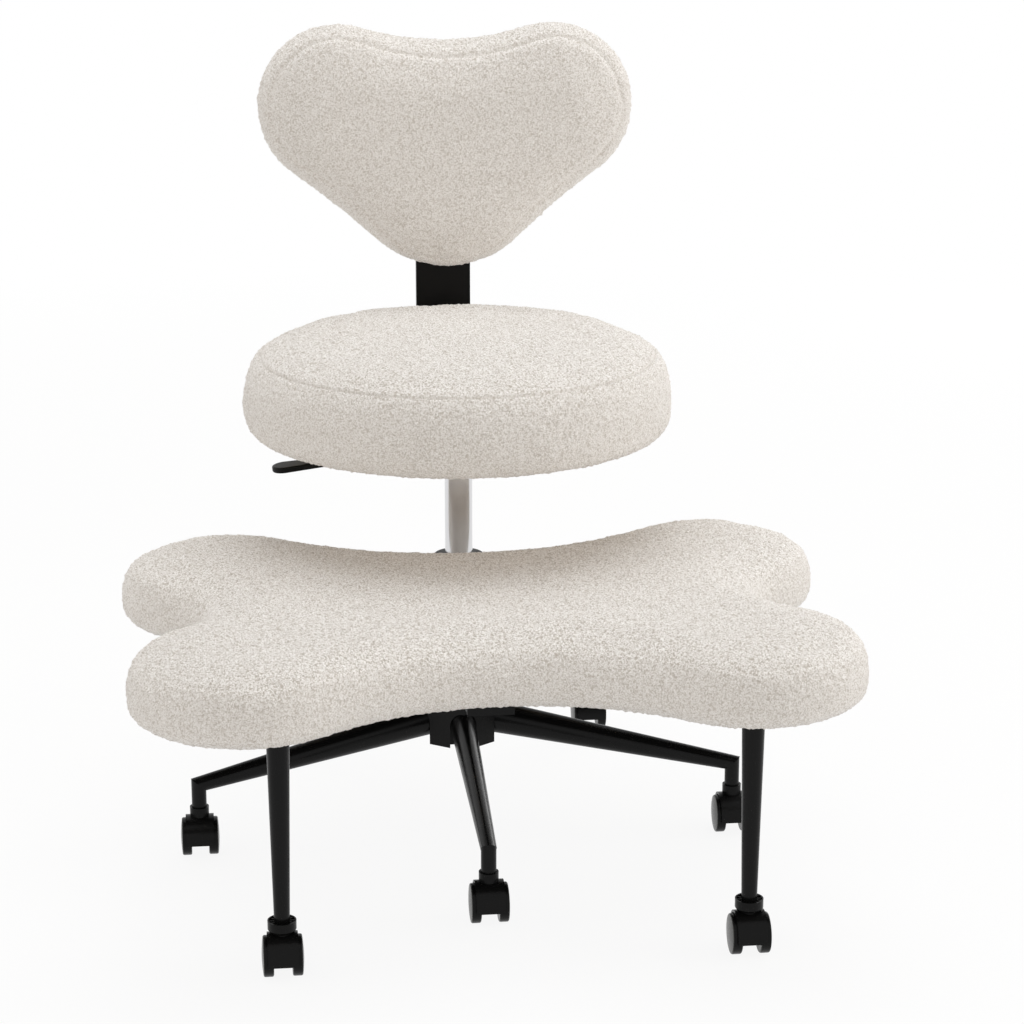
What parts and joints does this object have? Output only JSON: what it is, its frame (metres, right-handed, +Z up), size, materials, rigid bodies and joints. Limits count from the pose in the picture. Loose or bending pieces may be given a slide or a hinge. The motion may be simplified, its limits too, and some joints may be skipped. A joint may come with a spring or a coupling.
{
  "type": "cross-legged swivel chair",
  "caption": "Swivel chair with round seat, heart-shaped back and four-lobed footrest on casters that turns about the gas-lift column, for sitting with crossed legs.",
  "frame": {"origin": "on the floor under the axis of the gas column", "axes": "+Z up along the column, -Y the way the chair faces, +X to the viewer's right when the chair is seen from the front"},
  "size_m": [0.692, 0.7196, 0.796],
  "materials": {
    "black_steel": "gloss powder coat",
    "chrome": "polished",
    "bright_steel": "zinc plated",
    "gloss_nylon": "gloss moulding",
    "black_nylon": "satin moulding",
    "plywood": "plain sanded",
    "boucle": "curly loop pile"
  },
  "bodies": {
    "base": {"base_hub": "black_steel", "base_arm_1": "black_steel", "base_arm_2": "black_steel", "base_arm_3": "black_steel", "base_arm_4": "black_steel", "base_arm_5": "black_steel", "arm_sockets": "black_nylon", "caster_pins": "bright_steel", "column_tube": "black_steel", "column_bush": "black_nylon", "thrust_bearing": "bright_steel", "thrust_washer": "black_nylon"},
    "piston": {"piston_rod": "bright_steel", "column_clip": "bright_steel"},
    "seat": {"gas_cylinder": "chrome", "seat_mechanism": "black_steel", "seat_board": "plywood", "seat_cushion": "boucle", "seat_bolts": "bright_steel", "back_bar": "black_steel", "back_board": "plywood", "back_cushion": "boucle"},
    "lever": {"height_lever": "black_steel"},
    "button": {"release_button": "bright_steel"},
    "footrest": {"footrest_bracket": "black_steel", "collar_bushes": "black_nylon", "footrest_board": "plywood", "footrest_cushion": "boucle", "footrest_legs": "black_steel", "leg_sockets": "black_nylon", "leg_caster_pins": "bright_steel", "footrest_bolts": "bright_steel"},
    "caster_1": {"caster_1_hood": "gloss_nylon", "caster_1_axle": "bright_steel"},
    "caster_1_left": {"caster_1_wheel_left": "gloss_nylon"},
    "caster_1_right": {"caster_1_wheel_right": "gloss_nylon"},
    "caster_2": {"caster_2_hood": "gloss_nylon", "caster_2_axle": "bright_steel"},
    "caster_2_left": {"caster_2_wheel_left": "gloss_nylon"},
    "caster_2_right": {"caster_2_wheel_right": "gloss_nylon"},
    "caster_3": {"caster_3_hood": "gloss_nylon", "caster_3_axle": "bright_steel"},
    "caster_3_left": {"caster_3_wheel_left": "gloss_nylon"},
    "caster_3_right": {"caster_3_wheel_right": "gloss_nylon"},
    "caster_4": {"caster_4_hood": "gloss_nylon", "caster_4_axle": "bright_steel"},
    "caster_4_left": {"caster_4_wheel_left": "gloss_nylon"},
    "caster_4_right": {"caster_4_wheel_right": "gloss_nylon"},
    "caster_5": {"caster_5_hood": "gloss_nylon", "caster_5_axle": "bright_steel"},
    "caster_5_left": {"caster_5_wheel_left": "gloss_nylon"},
    "caster_5_right": {"caster_5_wheel_right": "gloss_nylon"},
    "caster_6": {"caster_6_hood": "gloss_nylon", "caster_6_axle": "bright_steel"},
    "caster_6_left": {"caster_6_wheel_left": "gloss_nylon"},
    "caster_6_right": {"caster_6_wheel_right": "gloss_nylon"},
    "caster_7": {"caster_7_hood": "gloss_nylon", "caster_7_axle": "bright_steel"},
    "caster_7_left": {"caster_7_wheel_left": "gloss_nylon"},
    "caster_7_right": {"caster_7_wheel_right": "gloss_nylon"}
  },
  "joints": [
    {"name": "seat_swivel", "type": "hinge", "parent": "base", "child": "piston", "pos_m": [0, 0, 0.2], "axis": [0, 0, 1], "continuous": true},
    {"name": "seat_height", "type": "slide", "parent": "piston", "child": "seat", "axis": [0, 0, 1], "range_m": [-0.05, 0.05]},
    {"name": "lever_lift", "type": "hinge", "parent": "seat", "child": "lever", "pos_m": [-0.026, 0, 0.4015], "axis": [0, 1, 0], "range_deg": [0, 8], "stiffness_Nm_per_rad": 2},
    {"name": "button_press", "type": "slide", "parent": "seat", "child": "button", "axis": [0, 0, -1], "range_m": [0, 0.0045], "stiffness_N_per_m": 500},
    {"name": "footrest_swing", "type": "hinge", "parent": "base", "child": "footrest", "pos_m": [0, 0, 0.18], "axis": [0, 0, 1], "continuous": true},
    {"name": "caster_1_swivel", "type": "hinge", "parent": "base", "child": "caster_1", "pos_m": [0, -0.285, 0.045], "axis": [0, 0, 1], "continuous": true},
    {"name": "caster_1_left_roll", "type": "hinge", "parent": "caster_1", "child": "caster_1_left", "pos_m": [0, -0.288, 0.019], "axis": [1, 0, 0], "continuous": true},
    {"name": "caster_1_right_roll", "type": "hinge", "parent": "caster_1", "child": "caster_1_right", "pos_m": [0, -0.288, 0.019], "axis": [1, 0, 0], "continuous": true},
    {"name": "caster_2_swivel", "type": "hinge", "parent": "base", "child": "caster_2", "pos_m": [0.27105, -0.08807, 0.045], "axis": [0, 0, 1], "continuous": true},
    {"name": "caster_2_left_roll", "type": "hinge", "parent": "caster_2", "child": "caster_2_left", "pos_m": [0.27105, -0.09107, 0.019], "axis": [1, 0, 0], "continuous": true},
    {"name": "caster_2_right_roll", "type": "hinge", "parent": "caster_2", "child": "caster_2_right", "pos_m": [0.27105, -0.09107, 0.019], "axis": [1, 0, 0], "continuous": true},
    {"name": "caster_3_swivel", "type": "hinge", "parent": "base", "child": "caster_3", "pos_m": [0.16752, 0.23057, 0.045], "axis": [0, 0, 1], "continuous": true},
    {"name": "caster_3_left_roll", "type": "hinge", "parent": "caster_3", "child": "caster_3_left", "pos_m": [0.16752, 0.22757, 0.019], "axis": [1, 0, 0], "continuous": true},
    {"name": "caster_3_right_roll", "type": "hinge", "parent": "caster_3", "child": "caster_3_right", "pos_m": [0.16752, 0.22757, 0.019], "axis": [1, 0, 0], "continuous": true},
    {"name": "caster_4_swivel", "type": "hinge", "parent": "base", "child": "caster_4", "pos_m": [-0.16752, 0.23057, 0.045], "axis": [0, 0, 1], "continuous": true},
    {"name": "caster_4_left_roll", "type": "hinge", "parent": "caster_4", "child": "caster_4_left", "pos_m": [-0.16752, 0.22757, 0.019], "axis": [1, 0, 0], "continuous": true},
    {"name": "caster_4_right_roll", "type": "hinge", "parent": "caster_4", "child": "caster_4_right", "pos_m": [-0.16752, 0.22757, 0.019], "axis": [1, 0, 0], "continuous": true},
    {"name": "caster_5_swivel", "type": "hinge", "parent": "base", "child": "caster_5", "pos_m": [-0.27105, -0.08807, 0.045], "axis": [0, 0, 1], "continuous": true},
    {"name": "caster_5_left_roll", "type": "hinge", "parent": "caster_5", "child": "caster_5_left", "pos_m": [-0.27105, -0.09107, 0.019], "axis": [1, 0, 0], "continuous": true},
    {"name": "caster_5_right_roll", "type": "hinge", "parent": "caster_5", "child": "caster_5_right", "pos_m": [-0.27105, -0.09107, 0.019], "axis": [1, 0, 0], "continuous": true},
    {"name": "caster_6_swivel", "type": "hinge", "parent": "footrest", "child": "caster_6", "pos_m": [-0.1985, -0.381, 0.045], "axis": [0, 0, 1], "continuous": true},
    {"name": "caster_6_left_roll", "type": "hinge", "parent": "caster_6", "child": "caster_6_left", "pos_m": [-0.1985, -0.384, 0.019], "axis": [1, 0, 0], "continuous": true},
    {"name": "caster_6_right_roll", "type": "hinge", "parent": "caster_6", "child": "caster_6_right", "pos_m": [-0.1985, -0.384, 0.019], "axis": [1, 0, 0], "continuous": true},
    {"name": "caster_7_swivel", "type": "hinge", "parent": "footrest", "child": "caster_7", "pos_m": [0.2315, -0.381, 0.045], "axis": [0, 0, 1], "continuous": true},
    {"name": "caster_7_left_roll", "type": "hinge", "parent": "caster_7", "child": "caster_7_left", "pos_m": [0.2315, -0.384, 0.019], "axis": [1, 0, 0], "continuous": true},
    {"name": "caster_7_right_roll", "type": "hinge", "parent": "caster_7", "child": "caster_7_right", "pos_m": [0.2315, -0.384, 0.019], "axis": [1, 0, 0], "continuous": true}
  ],
  "couplings": [
    {"joint": "button_press", "follows": "lever_lift", "m_per_rad": 0.031}
  ]
}
